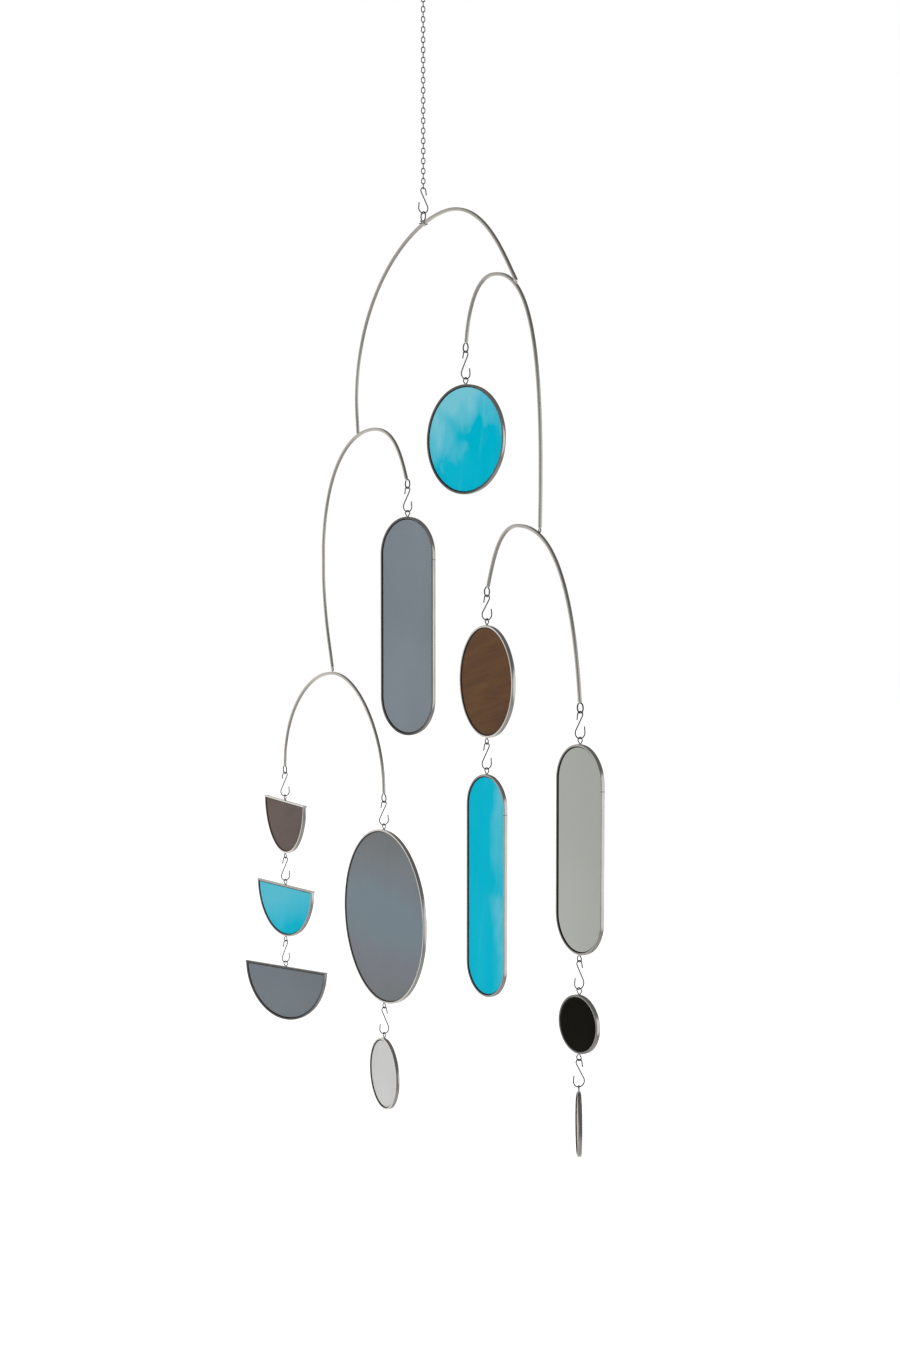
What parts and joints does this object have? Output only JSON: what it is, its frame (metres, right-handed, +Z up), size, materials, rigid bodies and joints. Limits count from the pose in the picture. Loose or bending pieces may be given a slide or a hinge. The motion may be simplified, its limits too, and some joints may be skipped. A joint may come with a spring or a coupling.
{
  "type": "suncatcher",
  "caption": "Hanging mobile of bent metal arches that carry strings of round, half-round and long glass panels in metal channel on S-hooks, held by a chain with a ring.",
  "frame": {"origin": "the point inside the top of the hanging ring, where the ring rests on what holds the suncatcher up", "axes": "+Z up, against gravity; the arches lie in the XZ plane, with +X towards the right side of the picture; +Y is the side away from the viewer"},
  "size_m": [0.807, 0.0574, 1.311],
  "materials": {
    "rod_metal": "soldered grey rod, satin",
    "wire_metal": "bent wire, satin",
    "chain_metal": "small oval links, satin",
    "channel_metal": "rolled channel, satin, soldered",
    "turquoise_glass": "opalescent, pale wisps, glossy",
    "brown_glass": "opaque wispy, glossy",
    "smoke_glass": "opaque grey, glossy",
    "mirror_glass": "pale silvered, glossy",
    "black_glass": "opaque black, glossy",
    "mauve_glass": "opaque, glossy",
    "white_glass": "opalescent, glossy"
  },
  "bodies": {
    "root": {"hanging_ring": "wire_metal", "chain": "chain_metal", "chain_hook": "wire_metal", "top_arch": "rod_metal", "right_arch": "rod_metal", "left_arch": "rod_metal", "lower_right_arch": "rod_metal", "lower_left_arch": "rod_metal", "top_arch_ring": "wire_metal", "right_arch_left_ring": "wire_metal", "left_arch_right_ring": "wire_metal", "lower_right_arch_left_ring": "wire_metal", "lower_right_arch_right_ring": "wire_metal", "lower_left_arch_left_ring": "wire_metal", "lower_left_arch_right_ring": "wire_metal", "lower_right_arch_joint_eye": "wire_metal", "lower_left_arch_joint_eye": "wire_metal", "turquoise_circle_hook": "wire_metal", "turquoise_circle_frame": "channel_metal", "turquoise_circle_glass": "turquoise_glass", "smoke_long_panel_hook": "wire_metal", "smoke_long_panel_frame": "channel_metal", "smoke_long_panel_glass": "smoke_glass", "brown_circle_hook": "wire_metal", "brown_circle_frame": "channel_metal", "brown_circle_glass": "brown_glass", "turquoise_long_panel_hook": "wire_metal", "turquoise_long_panel_frame": "channel_metal", "turquoise_long_panel_glass": "turquoise_glass", "mirror_long_panel_hook": "wire_metal", "mirror_long_panel_frame": "channel_metal", "mirror_long_panel_glass": "mirror_glass", "black_circle_hook": "wire_metal", "black_circle_frame": "channel_metal", "black_circle_glass": "black_glass", "mauve_circle_hook": "wire_metal", "mauve_circle_frame": "channel_metal", "mauve_circle_glass": "mauve_glass", "large_smoke_circle_hook": "wire_metal", "large_smoke_circle_frame": "channel_metal", "large_smoke_circle_glass": "smoke_glass", "white_circle_hook": "wire_metal", "white_circle_frame": "channel_metal", "white_circle_glass": "white_glass", "brown_half_disc_hook": "wire_metal", "brown_half_disc_frame": "channel_metal", "brown_half_disc_glass": "brown_glass", "turquoise_half_disc_hook": "wire_metal", "turquoise_half_disc_frame": "channel_metal", "turquoise_half_disc_glass": "turquoise_glass", "smoke_half_disc_hook": "wire_metal", "smoke_half_disc_frame": "channel_metal", "smoke_half_disc_glass": "smoke_glass"}
  },
  "joints": []
}
